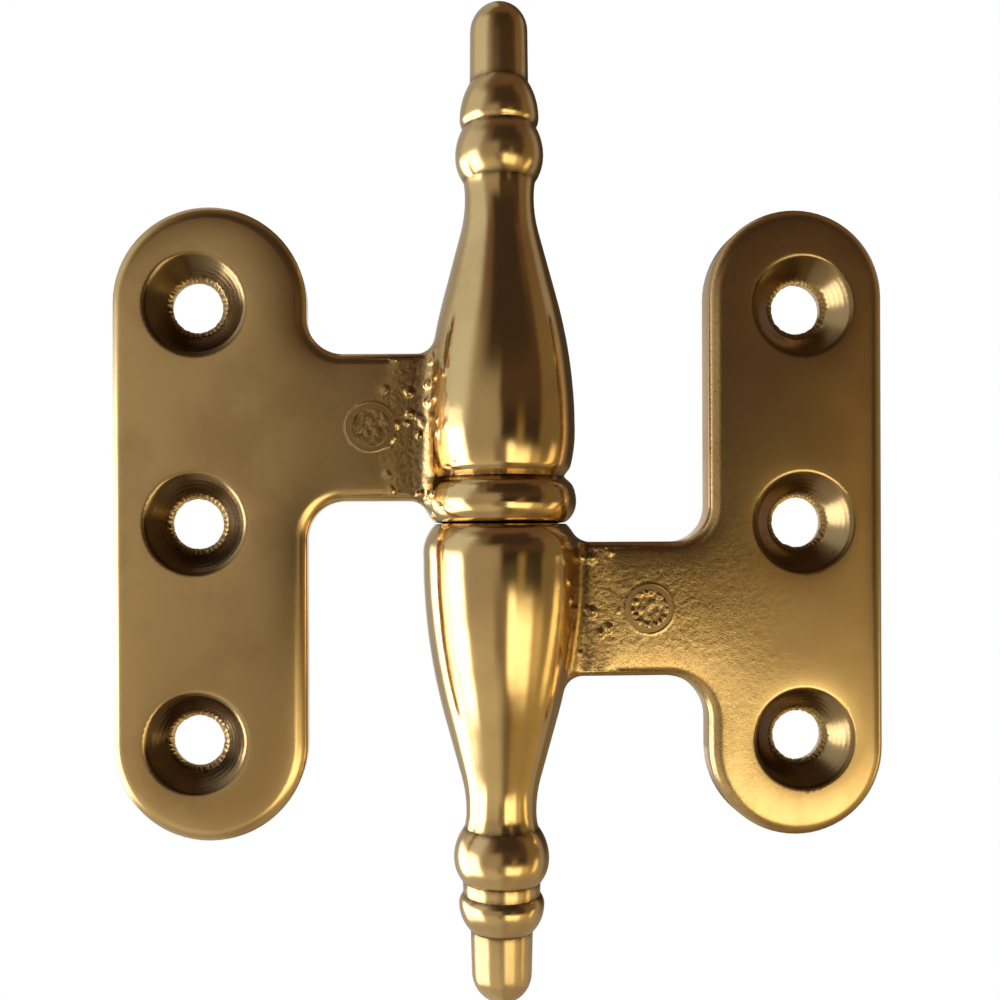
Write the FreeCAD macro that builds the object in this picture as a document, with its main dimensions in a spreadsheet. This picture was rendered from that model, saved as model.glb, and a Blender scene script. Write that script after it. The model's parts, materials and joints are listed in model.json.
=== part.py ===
import FreeCAD, Part
import math
import os
import Sketcher

# Lift-off hinge in cast brass: two flat leaves, two turned knuckles with beaded finials, one loose pin.
# Frame: +Z runs up along the pin, the leaves lie flat in the XZ plane and the front looks along -Y.
# The origin is on the pin's axis, halfway between the two finial tips.
# Each leaf is drawn with its knuckle upwards from the joint plane, its plate towards +X and its front
# towards +Y. The upper leaf is then turned about Z, the lower one about X.

# Driving dimensions in millimetres and degrees
SIZES = {
    # Plates of both leaves
    "leaf_reach": 34.4,
    "leaf_height": 56.2,
    "leaf_thickness": 3.0,
    "upper_leaf_width": 17.1,
    "lower_leaf_width": 15.7,
    "front_edge_round": 0.55,
    "back_edge_round": 0.3,
    # Screw holes of both leaves, their line measured in from the plate's outer edge
    "screw_line": 7.3,
    "screw_pitch": 19.4,
    "screw_hole": 4.9,
    "countersink": 9.0,
    "countersink_angle": 90.0,
    "countersink_lip_round": 0.7,
    # Necks between plate and knuckle, measured from the joint plane
    "upper_neck_start": 2.0,
    "upper_neck_height": 13.1,
    "upper_corner_near_joint": 3.4,
    "upper_corner_far": 3.2,
    "lower_neck_start": 1.7,
    "lower_neck_height": 12.0,
    "lower_corner_near_joint": 3.2,
    "lower_corner_far": 4.0,
    "neck_root_round": 1.8,
    # Stamped ring on each neck, its place measured from the axis along the middle of the neck
    "upper_mark_place": 11.6,
    "lower_mark_place": 13.2,
    "mark_diameter": 4.4,
    "mark_groove_width": 0.5,
    "mark_groove_depth": 0.3,
    # Joint and pin
    "joint_gap": 0.15,
    "pin_diameter": 6.0,
    "pin_clearance": 0.05,
    "pin_end_gap": 0.1,
    "pin_end_bevel": 0.5,
    "upper_bore_depth": 21.5,
    "lower_bore_depth": 19.0,
    "drill_point_angle": 118.0,
    # Groove above the ring at the foot of the upper knuckle
    "ring_top_length": 2.25,
    "ring_groove_radius": 6.05,
    "ring_groove_sweep": 312.0,
    "ring_groove_room": 1.0,
}

# Turned profiles from the joint plane outwards: station, radius, length from the station before
UPPER_STATIONS = {
    "foot": (5.9, 0.0),
    "shoulder": (6.8, 1.82),
    "belly": (6.7, 6.3),
    "flank": (5.15, 11.8),
    "taper": (3.52, 6.05),
    "waist": (3.1, 3.2),
    "collar_foot": (3.22, 1.45),
    "collar": (3.96, 2.3),
    "crease": (3.33, 2.4),
    "cove": (3.3, 0.15),
    "cap": (3.55, 0.8),
    "tip_foot": (2.63, 3.2),
    "tip": (2.58, 4.65),
}
LOWER_STATIONS = {
    "foot": (5.9, 0.0),
    "shoulder": (7.0, 2.62),
    "belly": (6.97, 0.6),
    "flank": (4.93, 14.6),
    "taper": (3.57, 4.9),
    "waist": (3.15, 3.1),
    "collar_foot": (3.32, 1.4),
    "collar": (4.28, 2.75),
    "crease": (3.5, 2.1),
    "cove": (3.45, 1.1),
    "cap": (3.83, 0.9),
    "tip_foot": (2.8, 2.4),
    "tip": (2.7, 3.8),
}

# How the profile runs into each station: straight, or an arc whose tangent is along the axis
# at this station (ends_upright) or at the station before (starts_upright)
RUNS = {
    "shoulder": "ends_upright",
    "belly": "straight",
    "flank": "starts_upright",
    "taper": "straight",
    "waist": "ends_upright",
    "collar_foot": "starts_upright",
    "collar": "ends_upright",
    "crease": "starts_upright",
    "cove": "straight",
    "cap": "ends_upright",
    "tip_foot": "starts_upright",
    "tip": "straight",
}
HOLLOW_RUNS = ("waist", "collar_foot")

# Name of the sheet in the document
SHEET = "Sizes"

# Places closer than this count as one
TOLERANCE = 1e-4

# Most of the straight edge beside it that a corner's radius may take up
CORNER_SHARE = 0.9


def make_sheet(doc):
    """Put every driving dimension in a cell whose alias is its name."""
    sheet = doc.addObject("Spreadsheet::Sheet", SHEET)
    cells = dict(SIZES)
    for side, stations in (("upper", UPPER_STATIONS), ("lower", LOWER_STATIONS)):
        for station, (radius, length) in stations.items():
            cells[f"{side}_{station}_radius"] = radius
            if station in RUNS:
                cells[f"{side}_{station}_length"] = length
    for row, (name, value) in enumerate(cells.items(), start=1):
        sheet.set(f"A{row}", name)
        sheet.set(f"B{row}", str(value))
        sheet.setAlias(f"B{row}", name)
    doc.recompute()
    return sheet


def cell(name):
    """Expression that reads one driving dimension."""
    return f"{SHEET}.{name}"


def plane(body, role):
    """One of the body's own origin planes."""
    return next(feature for feature in body.Origin.OriginFeatures if feature.Role == role)


def new_sketch(body, name, role, lift=None, shift=None):
    """Empty sketch on an origin plane, moved off it by lift and along its own Y by shift."""
    sketch = body.newObject("Sketcher::SketchObject", name)
    sketch.AttachmentSupport = (plane(body, role), "")
    sketch.MapMode = "FlatFace"
    if lift:
        sketch.setExpression("AttachmentOffset.Base.z", lift)
    if shift:
        sketch.setExpression("AttachmentOffset.Base.y", shift)
    return sketch


def bind(sketch, name, expression, *constraint):
    """Add a dimension to the sketch and tie it to an expression."""
    index = sketch.addConstraint(Sketcher.Constraint(*constraint))
    sketch.renameConstraint(index, name)
    sketch.setExpression(f"Constraints.{name}", expression)


def arc_middle(start, end, radius, turn):
    """Point halfway along the short arc from start to end; turn is 1 for left, -1 for right."""
    chord = end - start
    rise = radius - math.sqrt(max(radius ** 2 - (chord.Length / 2) ** 2, 0.0))
    outward = FreeCAD.Vector(chord.y, -chord.x, 0) * (turn / chord.Length)
    return (start + end) * 0.5 + outward * rise


def draw_outline(sketch, points):
    """Closed outline of lines and arcs.

    Each point is (x, y, radius, turn): two coordinates as expressions, with None for a point on
    that axis, and the arc that runs on to the next point, with None and 0 for a straight line.
    """
    places = []
    for x, y, _, _ in points:
        value_x = sketch.evalExpression(x) if x else 0.0
        value_y = sketch.evalExpression(y) if y else 0.0
        places.append(FreeCAD.Vector(float(value_x), float(value_y), 0))
    count = len(points)
    starts = []
    ends = []
    for index, (_, _, radius, turn) in enumerate(points):
        here = places[index]
        following = places[(index + 1) % count]
        if radius is None:
            edge = sketch.addGeometry(Part.LineSegment(here, following))
        else:
            middle = arc_middle(here, following, float(sketch.evalExpression(radius)), turn)
            edge = sketch.addGeometry(Part.Arc(here, middle, following))
        forward = sketch.getPoint(edge, 1).isEqual(here, TOLERANCE)
        starts.append((edge, 1 if forward else 2))
        ends.append((edge, 2 if forward else 1))
    for index in range(count):
        sketch.addConstraint(Sketcher.Constraint("Coincident", *ends[index - 1], *starts[index]))
    for index, (x, y, radius, _) in enumerate(points):
        if x:
            bind(sketch, f"x{index}", x, "DistanceX", -1, 1, *starts[index], places[index].x)
        else:
            sketch.addConstraint(Sketcher.Constraint("PointOnObject", *starts[index], -2))
        if y:
            bind(sketch, f"y{index}", y, "DistanceY", -1, 1, *starts[index], places[index].y)
        else:
            sketch.addConstraint(Sketcher.Constraint("PointOnObject", *starts[index], -1))
        if radius is not None:
            edge = starts[index][0]
            value = float(sketch.evalExpression(radius))
            bind(sketch, f"radius{index}", radius, "Radius", edge, value)


def draw_circle(sketch, name, x, y, diameter):
    """Circle whose centre and diameter follow expressions; y of None puts the centre on the X axis."""
    centre = FreeCAD.Vector(float(sketch.evalExpression(x)), float(sketch.evalExpression(y)) if y else 0.0, 0)
    width = float(sketch.evalExpression(diameter))
    edge = sketch.addGeometry(Part.Circle(centre, FreeCAD.Vector(0, 0, 1), width / 2))
    bind(sketch, f"{name}_x", x, "DistanceX", -1, 1, edge, 3, centre.x)
    if y:
        bind(sketch, f"{name}_y", y, "DistanceY", -1, 1, edge, 3, centre.y)
    else:
        sketch.addConstraint(Sketcher.Constraint("PointOnObject", edge, 3, -1))
    bind(sketch, f"{name}_diameter", diameter, "Diameter", edge, width)


def upright_arc(rise, run):
    """Radius of an arc that covers rise along the axis and run across it, upright at one end."""
    return f"(({rise})^2 + ({run})^2) / (2 * ({run}))"


def station_height(side, station):
    """Height of a station above the joint plane, as the sum of the lengths up to it."""
    names = list(RUNS)
    lengths = [cell(f"{side}_{name}_length") for name in names[: names.index(station) + 1]]
    return " + ".join([f"{cell('joint_gap')} / 2"] + lengths)


def station_radius(side, station):
    return cell(f"{side}_{station}_radius")


def knuckle_top(side):
    """Height of the finial's tip: the last station and a half-round dome on it."""
    return f"{station_height(side, 'tip')} + {station_radius(side, 'tip')}"


def knuckle_profile(side):
    """Half section of a knuckle, from its foot up to the tip and back down the axis."""
    stations = ["foot"] + list(RUNS)
    points = []
    for station, following in zip(stations, stations[1:] + [None]):
        radius = station_radius(side, station)
        height = f"{cell('joint_gap')} / 2" if station == "foot" else station_height(side, station)
        if following is None:
            points.append((radius, height, radius, 1))
        elif RUNS[following] == "straight":
            points.append((radius, height, None, 0))
        else:
            run = f"abs({station_radius(side, following)} - {radius})"
            arc = upright_arc(cell(f"{side}_{following}_length"), run)
            points.append((radius, height, arc, -1 if following in HOLLOW_RUNS else 1))
    points.append((None, knuckle_top(side), None, 0))
    points.append((None, f"{cell('joint_gap')} / 2", None, 0))
    return points


def leaf_outline(side):
    """Outline of plate and neck; the sketch starts at the plate's lower end, so no place is negative."""
    inner = f"({cell('leaf_reach')} - {cell(side + '_leaf_width')})"
    end = f"({cell(side + '_leaf_width')} / 2)"
    top = cell("leaf_height")
    neck_low = f"({top} / 2 + {cell(side + '_neck_start')})"
    neck_high = f"({neck_low} + {cell(side + '_neck_height')})"
    near = cell(f"{side}_corner_near_joint")
    far = f"min({cell(side + '_corner_far')}; {CORNER_SHARE} * ({top} - {end} - {neck_high}))"
    return [
        (None, neck_low, None, 0),
        (f"{inner} - {near}", neck_low, near, -1),
        (inner, f"{neck_low} - {near}", None, 0),
        (inner, end, end, 1),
        (f"{inner} + {end}", None, end, 1),
        (cell("leaf_reach"), end, None, 0),
        (cell("leaf_reach"), f"{top} - {end}", end, 1),
        (f"{inner} + {end}", top, end, 1),
        (inner, f"{top} - {end}", None, 0),
        (inner, f"{neck_high} + {far}", far, -1),
        (f"{inner} - {far}", neck_high, None, 0),
        (None, neck_high, None, 0),
    ]


def edge_names(shape, wanted):
    """Names of the edges for which the test holds."""
    return [f"Edge{number}" for number, edge in enumerate(shape.Edges, start=1) if wanted(edge)]


def round_edges(body, name, base, edges, radius):
    """Fillet on the named edges of the feature before."""
    if not edges:
        raise RuntimeError(f"{name}: no edge to round")
    fillet = body.newObject("PartDesign::Fillet", name)
    fillet.Base = (base, edges)
    fillet.setExpression("Radius", radius)
    body.Document.recompute()
    return fillet


def lies_in_face(edge, face_y):
    """Whether an edge lies in the plate's face at face_y."""
    box = edge.BoundBox
    return abs(box.YMin - face_y) < TOLERANCE and abs(box.YMax - face_y) < TOLERANCE


def outline_edges(shape, face_y, knuckle_reach):
    """Edges of the plate and neck that lie in the face at face_y, outside the knuckle."""
    def wanted(edge):
        return lies_in_face(edge, face_y) and edge.CenterOfMass.x > knuckle_reach
    return edge_names(shape, wanted)


def root_edges(shape, knuckle_reach):
    """Edges where the neck runs into the knuckle: one face beside them is the neck's, the other isn't."""
    def wanted(edge):
        sides = shape.ancestorsOfType(edge, Part.Face)
        if len(sides) != 2:
            return False
        on_leaf = [face.BoundBox.XMax > knuckle_reach for face in sides]
        return on_leaf[0] != on_leaf[1]
    return edge_names(shape, wanted)


def cut_holes(body, base, side, front):
    """Countersunk screw holes through the plate, with softly rounded lips."""
    pattern = new_sketch(body, f"{side}_screw_places", "XZ_Plane", f"-{cell('leaf_thickness')} / 2",
                         f"-{cell('leaf_height')} / 2")
    line = f"{cell('leaf_reach')} - {cell('screw_line')}"
    for number, steps in enumerate((-1, 0, 1)):
        height = f"{cell('leaf_height')} / 2 + ({steps}) * {cell('screw_pitch')}"
        draw_circle(pattern, f"screw{number}", line, height, cell("screw_hole"))
    body.Document.recompute()
    holes = body.newObject("PartDesign::Hole", f"{side}_screw_holes")
    holes.Profile = pattern
    body.Document.recompute()
    holes.ThreadType = "None"
    holes.DepthType = "ThroughAll"
    holes.Reversed = True
    holes.setExpression("Diameter", cell("screw_hole"))
    holes.HoleCutType = "Countersink"
    holes.HoleCutCustomValues = True
    holes.setExpression("HoleCutDiameter", cell("countersink"))
    holes.setExpression("HoleCutCountersinkAngle", cell("countersink_angle"))
    body.Document.recompute()
    if holes.Shape.Volume >= base.Shape.Volume:
        raise RuntimeError(f"{side} screw holes cut nothing")

    def lip(edge):
        return lies_in_face(edge, front) and edge.isClosed()
    return round_edges(body, f"{side}_screw_lips", holes, edge_names(holes.Shape, lip),
                       cell("countersink_lip_round"))


def cut_mark(body, base, side):
    """Stamped ring in the middle of the neck's front."""
    sketch = new_sketch(body, f"{side}_mark_outline", "XZ_Plane", f"-{cell('leaf_thickness')} / 2")
    across = cell(f"{side}_mark_place")
    height = f"{cell(side + '_neck_start')} + {cell(side + '_neck_height')} / 2"
    draw_circle(sketch, "outer", across, height, cell("mark_diameter"))
    draw_circle(sketch, "inner", across, height, f"{cell('mark_diameter')} - 2 * {cell('mark_groove_width')}")
    mark = body.newObject("PartDesign::Pocket", f"{side}_mark")
    mark.Profile = sketch
    mark.Reversed = True
    mark.setExpression("Length", cell("mark_groove_depth"))
    body.Document.recompute()
    if mark.Shape.Volume >= base.Shape.Volume:
        raise RuntimeError(f"{side} mark cut nothing")
    return mark


def cut_ring_groove(body, base):
    """Groove that parts the ring at the foot of the upper knuckle from its belly, open but at the neck."""
    sketch = new_sketch(body, "ring_groove_section", "XZ_Plane")
    away_from_neck = FreeCAD.Rotation(FreeCAD.Vector(0, 1, 0), 180)
    sketch.AttachmentOffset = FreeCAD.Placement(FreeCAD.Vector(), away_from_neck)
    ring = station_radius("upper", "shoulder")
    belly = station_radius("upper", "belly")
    bottom = cell("ring_groove_radius")
    ring_height = station_height("upper", "shoulder")
    groove_height = f"{ring_height} + {cell('ring_top_length')}"
    belly_height = station_height("upper", "belly")
    outside = f"{ring} + {cell('ring_groove_room')}"
    belly_rise = f"({cell('upper_belly_length')} - {cell('ring_top_length')})"
    draw_outline(sketch, [
        (ring, ring_height, None, 0),
        (outside, ring_height, None, 0),
        (outside, belly_height, None, 0),
        (belly, belly_height, upright_arc(belly_rise, f"{belly} - {bottom}"), -1),
        (bottom, groove_height, upright_arc(cell("ring_top_length"), f"{ring} - {bottom}"), -1),
    ])
    groove = body.newObject("PartDesign::Groove", "ring_groove")
    groove.Profile = sketch
    groove.ReferenceAxis = (sketch, ["V_Axis"])
    groove.Midplane = True
    groove.setExpression("Angle", cell("ring_groove_sweep"))
    body.Document.recompute()
    if groove.Shape.Volume >= base.Shape.Volume:
        raise RuntimeError("the ring groove cut nothing")
    return groove


def cut_bore(body, base, side):
    """Blind bore for the pin, drilled in from the joint plane."""
    sketch = new_sketch(body, f"{side}_bore_place", "XY_Plane", f"{cell('joint_gap')} / 2")
    width = f"{cell('pin_diameter')} + 2 * {cell('pin_clearance')}"
    edge = sketch.addGeometry(Part.Circle(FreeCAD.Vector(), FreeCAD.Vector(0, 0, 1),
                                          float(sketch.evalExpression(width)) / 2))
    sketch.addConstraint(Sketcher.Constraint("Coincident", edge, 3, -1, 1))
    bind(sketch, "bore_diameter", width, "Diameter", edge, float(sketch.evalExpression(width)))
    body.Document.recompute()
    bore = body.newObject("PartDesign::Hole", f"{side}_bore")
    bore.Profile = sketch
    body.Document.recompute()
    bore.ThreadType = "None"
    bore.Reversed = True
    bore.setExpression("Diameter", width)
    bore.DepthType = "Dimension"
    bore.setExpression("Depth", cell(f"{side}_bore_depth"))
    bore.DrillPoint = "Angled"
    bore.setExpression("DrillPointAngle", cell("drill_point_angle"))
    body.Document.recompute()
    if bore.Shape.Volume >= base.Shape.Volume:
        raise RuntimeError(f"{side} bore cut nothing")
    return bore


def make_leaf(doc, sheet, side):
    """One casting: turned knuckle, plate and neck, rounded edges, holes, mark and bore."""
    body = doc.addObject("PartDesign::Body", f"{side}_leaf")
    body.Label = f"{side}_leaf"
    half = sheet.get("leaf_thickness") / 2
    reach = max(sheet.get(f"{side}_shoulder_radius"), sheet.get(f"{side}_belly_radius"))
    clear_of_knuckle = reach + sheet.get("neck_root_round") / 2

    section = new_sketch(body, f"{side}_knuckle_section", "XZ_Plane")
    draw_outline(section, knuckle_profile(side))
    knuckle = body.newObject("PartDesign::Revolution", f"{side}_knuckle")
    knuckle.Profile = section
    knuckle.ReferenceAxis = (section, ["V_Axis"])
    knuckle.Angle = 360
    doc.recompute()

    outline = new_sketch(body, f"{side}_plate_outline", "XZ_Plane", None, f"-{cell('leaf_height')} / 2")
    draw_outline(outline, leaf_outline(side))
    plate = body.newObject("PartDesign::Pad", f"{side}_plate")
    plate.Profile = outline
    plate.SideType = "Symmetric"
    plate.setExpression("Length", cell("leaf_thickness"))
    doc.recompute()

    front = round_edges(body, f"{side}_front_edge", plate, outline_edges(plate.Shape, half, clear_of_knuckle),
                        cell("front_edge_round"))
    back = round_edges(body, f"{side}_back_edge", front, outline_edges(front.Shape, -half, clear_of_knuckle),
                       cell("back_edge_round"))
    tip = round_edges(body, f"{side}_neck_root", back, root_edges(back.Shape, clear_of_knuckle),
                      cell("neck_root_round"))
    if side == "upper":
        tip = cut_ring_groove(body, tip)
    tip = cut_holes(body, tip, side, half)
    tip = cut_mark(body, tip, side)
    body.Tip = cut_bore(body, tip, side)
    return body


def make_pin(doc):
    """Plain round pin with bevelled ends, standing on the end of the lower bore."""
    body = doc.addObject("PartDesign::Body", "hinge_pin")
    body.Label = "hinge_pin"
    sketch = new_sketch(body, "pin_section", "XZ_Plane")
    radius = f"{cell('pin_diameter')} / 2"
    bevel = cell("pin_end_bevel")
    length = (f"{cell('lower_bore_depth')} + {cell('upper_bore_depth')} + {cell('joint_gap')}"
              f" - 2 * {cell('pin_end_gap')}")
    draw_outline(sketch, [
        (None, None, None, 0),
        (f"{radius} - {bevel}", None, None, 0),
        (radius, bevel, None, 0),
        (radius, f"{length} - {bevel}", None, 0),
        (f"{radius} - {bevel}", length, None, 0),
        (None, length, None, 0),
    ])
    pin = body.newObject("PartDesign::Revolution", "pin")
    pin.Profile = sketch
    pin.ReferenceAxis = (sketch, ["V_Axis"])
    pin.Angle = 360
    body.Tip = pin
    doc.recompute()
    return body


def place(doc, upper, lower, pin):
    """Turn each piece into the hinge's frame, with the origin halfway between the finial tips."""
    joint_height = f"(({knuckle_top('lower')}) - ({knuckle_top('upper')})) / 2"
    upper.Placement.Rotation = FreeCAD.Rotation(FreeCAD.Vector(0, 0, 1), 180)
    lower.Placement.Rotation = FreeCAD.Rotation(FreeCAD.Vector(1, 0, 0), 180)
    upper.setExpression("Placement.Base.z", joint_height)
    lower.setExpression("Placement.Base.z", joint_height)
    bore_end = f"{joint_height} - {cell('joint_gap')} / 2 - {cell('lower_bore_depth')}"
    pin_foot = f"{bore_end} + {cell('pin_end_gap')}"
    pin.setExpression("Placement.Base.z", pin_foot)
    doc.recompute()


def check(doc, bodies):
    """Stop if any feature failed or a piece has no sound solid."""
    for item in doc.Objects:
        if "Invalid" in item.State or "Error" in item.State:
            raise RuntimeError(f"{item.Label} failed: {item.State}")
    for body in bodies:
        shape = body.Shape
        if shape.isNull() or not shape.isValid() or len(shape.Solids) != 1:
            raise RuntimeError(f"{body.Label} isn't one sound solid")


def main():
    doc = FreeCAD.newDocument("LiftOffHinge")
    sheet = make_sheet(doc)
    upper = make_leaf(doc, sheet, "upper")
    lower = make_leaf(doc, sheet, "lower")
    pin = make_pin(doc)
    place(doc, upper, lower, pin)
    bodies = (upper, lower, pin)
    check(doc, bodies)
    os.makedirs("parts", exist_ok=True)
    for body in bodies:
        body.Shape.exportStep(f"parts/{body.Label}.step")
        box = body.Shape.BoundBox
        print(f"{body.Label}: {body.Shape.Volume:.1f} mm3, z {box.ZMin:.2f} to {box.ZMax:.2f}")


main()
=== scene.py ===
import json
import math

import bmesh
import bpy
from mathutils import Matrix, Vector, geometry, kdtree, noise


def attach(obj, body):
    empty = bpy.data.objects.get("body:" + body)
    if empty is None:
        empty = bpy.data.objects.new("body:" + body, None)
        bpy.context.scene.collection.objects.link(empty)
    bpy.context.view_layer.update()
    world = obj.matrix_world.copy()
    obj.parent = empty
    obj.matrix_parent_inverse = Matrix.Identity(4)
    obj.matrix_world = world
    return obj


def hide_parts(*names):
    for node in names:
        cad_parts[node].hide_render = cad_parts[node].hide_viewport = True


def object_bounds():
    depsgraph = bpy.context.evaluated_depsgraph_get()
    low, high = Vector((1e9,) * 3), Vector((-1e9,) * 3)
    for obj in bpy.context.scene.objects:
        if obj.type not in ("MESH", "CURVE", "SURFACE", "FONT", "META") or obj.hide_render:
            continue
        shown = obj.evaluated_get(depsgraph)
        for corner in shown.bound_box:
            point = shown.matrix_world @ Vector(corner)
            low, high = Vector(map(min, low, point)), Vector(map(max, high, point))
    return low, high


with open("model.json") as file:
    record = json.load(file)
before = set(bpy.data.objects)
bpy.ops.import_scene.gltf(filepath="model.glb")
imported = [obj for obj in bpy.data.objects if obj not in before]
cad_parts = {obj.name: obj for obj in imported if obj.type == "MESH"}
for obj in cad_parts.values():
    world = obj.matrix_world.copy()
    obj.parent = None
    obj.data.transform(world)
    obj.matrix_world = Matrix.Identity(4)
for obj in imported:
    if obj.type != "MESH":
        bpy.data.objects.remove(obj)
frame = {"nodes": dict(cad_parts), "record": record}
CAD_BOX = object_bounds()

bl_info = {
    "name": "Lift-off hinge",
    "version": (1, 0, 0),
    "blender": (4, 5, 0),
    "location": "3D View > Sidebar > Hinge",
    "description": "Dresses a cast brass lift-off hinge and sets it on its stage",
    "category": "Object",
}

MM = 0.001
MOUNTS = {mount["name"]: mount for mount in frame["record"]["mounts"]}

# Which body carries each leaf, and which way its knuckle points
LEAF_BODIES = {"upper": "door_leaf", "lower": "frame_leaf"}
KNUCKLE_WAYS = {"upper": 1, "lower": -1}


def length(name, description, millimetres):
    return bpy.props.FloatProperty(
        name=name, description=description, default=millimetres * MM, unit="LENGTH", precision=6)


def tint(name, description, default):
    return bpy.props.FloatVectorProperty(
        name=name, description=description, default=default, subtype="COLOR", size=3, min=0, max=1)


def factor(name, description, default):
    return bpy.props.FloatProperty(
        name=name, description=description, default=default, subtype="FACTOR", min=0, max=1)


class CastingSettings(bpy.types.PropertyGroup):
    """Sizes of what casting, drilling and polishing did to the leaves."""

    spacing: length("Front spacing", "Distance between points on the plate's front", 0.28)
    fine_spacing: length("Neck spacing", "Distance between points on the neck's front", 0.15)
    roll_depth: length("Roll depth", "How far the front rolls back at its edge", 0.6)
    roll_width: length("Roll width", "How far from the wall that roll starts", 1.1)
    crown_depth: length("Crown depth", "How far polishing took the front's rim down", 0.15)
    crown_width: length("Crown width", "How far from the rim that fall starts", 1.5)
    lip_depth: length("Lip depth", "How far polishing took the countersinks' lips down", 0.035)
    lip_width: length("Lip width", "How far from the lip that fall starts", 0.8)
    wave_height: length("Wave height", "Height of the slow waves of hand polishing", 0.016)
    wave_length: length("Wave length", "Length of the polishing waves", 7.0)
    grain_height: length("Grain height", "Height of the sand grain on the necks", 0.02)
    grain_size: length("Grain size", "Size of the sand grain on the necks", 0.36)
    lump_height: length("Lump height", "Height of the beads of metal beside the knuckle", 0.24)
    lump_radius: length("Lump radius", "Radius of the beads of metal beside the knuckle", 0.42)
    burr_height: length("Burr height", "How far burrs stand into the screw holes", 0.24)


class BrassSettings(bpy.types.PropertyGroup):
    """Colours and gloss of the metals."""

    brass: tint("Brass", "Clean brass", (0.74, 0.50, 0.20))
    tarnish: tint("Tarnish", "Brass gone brown", (0.42, 0.235, 0.075))
    # Dirt in pits, and painted shade in grooves, at the joint and beside the knuckle
    dirt_and_shade: tint("Grime", "Dirt in pits, grooves and corners", (0.10, 0.065, 0.03))
    # Oxide with painted shade inside the countersinks
    oxide_and_shade: tint("Oxide", "Dark skin inside the countersinks", (0.12, 0.07, 0.03))
    polished: factor("Polished roughness", "Roughness of the knuckles", 0.13)
    satin: factor("Satin roughness", "Roughness of the plates", 0.21)
    sandy: factor("Sandy roughness", "Roughness of the cast necks", 0.24)
    steel: tint("Steel", "Ground steel of the pin", (0.50, 0.50, 0.52))


class StageSettings(bpy.types.PropertyGroup):
    """Camera and floor."""

    camera_place: bpy.props.FloatVectorProperty(
        name="Camera place", description="Where the camera stands", subtype="TRANSLATION", size=3,
        default=(-8.879 * MM, -99.0 * MM, -2.704 * MM))
    camera_turn: bpy.props.FloatProperty(
        name="Camera turn", description="Turn to the right of straight ahead",
        default=math.radians(1.711), subtype="ANGLE")
    camera_roll: bpy.props.FloatProperty(
        name="Camera roll", description="Roll about the line of sight",
        default=math.radians(-0.197), subtype="ANGLE")
    lens: bpy.props.FloatProperty(name="Lens", description="Focal length in millimetres", default=39.64)
    shift: bpy.props.FloatVectorProperty(
        name="Shift", description="Lens shift across and up", size=2, default=(0.0653, 0.0327))
    floor_radius: length("Floor radius", "Radius of the pale floor", 42)
    floor_shade: factor("Floor shade", "How much of the floor's white is left to the light", 0.12)


def smooth_between(low, high, value):
    """0 below low, 1 above high and an even rise between them."""
    share = min(max((value - low) / (high - low), 0.0), 1.0)
    return share * share * (3 - 2 * share)


class LeafMap:
    """Where things are on one leaf, read from the frame."""

    def __init__(self, side):
        self.side = side
        self.node = frame["nodes"][f"{side}_leaf"]
        self.body = LEAF_BODIES[side]
        self.out = KNUCKLE_WAYS[side]
        screws = MOUNTS[f"{self.body}_screws"]
        self.back = screws["pos_m"][1]
        self.front = -self.back
        self.hand = math.copysign(1, screws["pos_m"][0])
        pitch = screws["dims"]["spacing_y_mm"] * MM / 2
        self.hole_radius = screws["dims"]["hole_r_mm"] * MM
        self.joint = screws["pos_m"][2]
        self.holes = [(screws["pos_m"][0], self.joint + step * pitch) for step in (-1, 0, 1)]

    def nearest_hole(self, point):
        x, z = min(self.holes, key=lambda hole: math.hypot(point.x - hole[0], point.z - hole[1]))
        return Vector((x, 0, z))

    def hole_distance(self, point):
        return min(math.hypot(point.x - x, point.z - z) for x, z in self.holes)

    def from_axis(self, point):
        """Distance from the pin's axis towards the plate."""
        return point.x * self.hand


# Places along the leaf, measured from the pin's axis
ROOT_START = 4.6 * MM
SKIN_START = 6.4 * MM
ROOT_END = 9.0 * MM
LUMPS_END = 11.5 * MM
NECK_END = 17.5 * MM
MARK_REACH = 18 * MM

# Rims, holes and marks
EDGE_ROUND = 0.55 * MM
LIP_START = 4.8 * MM
LIP_RADIUS = 5.6 * MM
LIP_END = 0.25 * MM
SINK_DEPTH = 2.05 * MM
MARK_RADIUS = 2.2 * MM
MARK_FLOOR = (0.2 * MM, 0.4 * MM)

# Tolerances of lengths, of points added to holes and vase, and of flat and sharp faces
TOUCH = 0.004 * MM
HAIR = 0.02 * MM
ROOM = 0.1 * MM
MARK_ROOM = 0.3 * MM
HOLE_ERROR = 0.08 * MM
BODY_ERROR = 0.03 * MM
SQUARE = 0.99
BACK_SQUARE = 0.999
SHARP_ANGLE = math.radians(32)

# Rounds of halving edges, and how many of the nearest edges are compared
HALVINGS = 6
EDGES_COMPARED = 3

# Ways that front and back face
FRONT_WAY = Vector((0, -1, 0))
BACK_WAY = Vector((0, 1, 0))


def find_mark(bm, leaf):
    """Centre of the stamped ring, from the floor of its groove."""
    low, high = (leaf.front + depth for depth in MARK_FLOOR)
    points = []
    for face in bm.faces:
        middle = face.calc_center_median()
        on_floor = face.normal.y < -SQUARE and low < middle.y < high
        if on_floor and ROOT_START < leaf.from_axis(middle) < MARK_REACH:
            points += [vert.co for vert in face.verts]
    across, _, up = [(min(line) + max(line)) / 2 for line in zip(*points)]
    return Vector((across, leaf.front, up))


def on_front(vert, leaf):
    return abs(vert.co.y - leaf.front) < TOUCH


def in_flat_front(face, leaf):
    return all(on_front(vert, leaf) for vert in face.verts)


def rim_edges(bm, leaf):
    return [edge for edge in bm.edges
            if edge.is_boundary and all(on_front(vert, leaf) for vert in edge.verts)]


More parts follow.
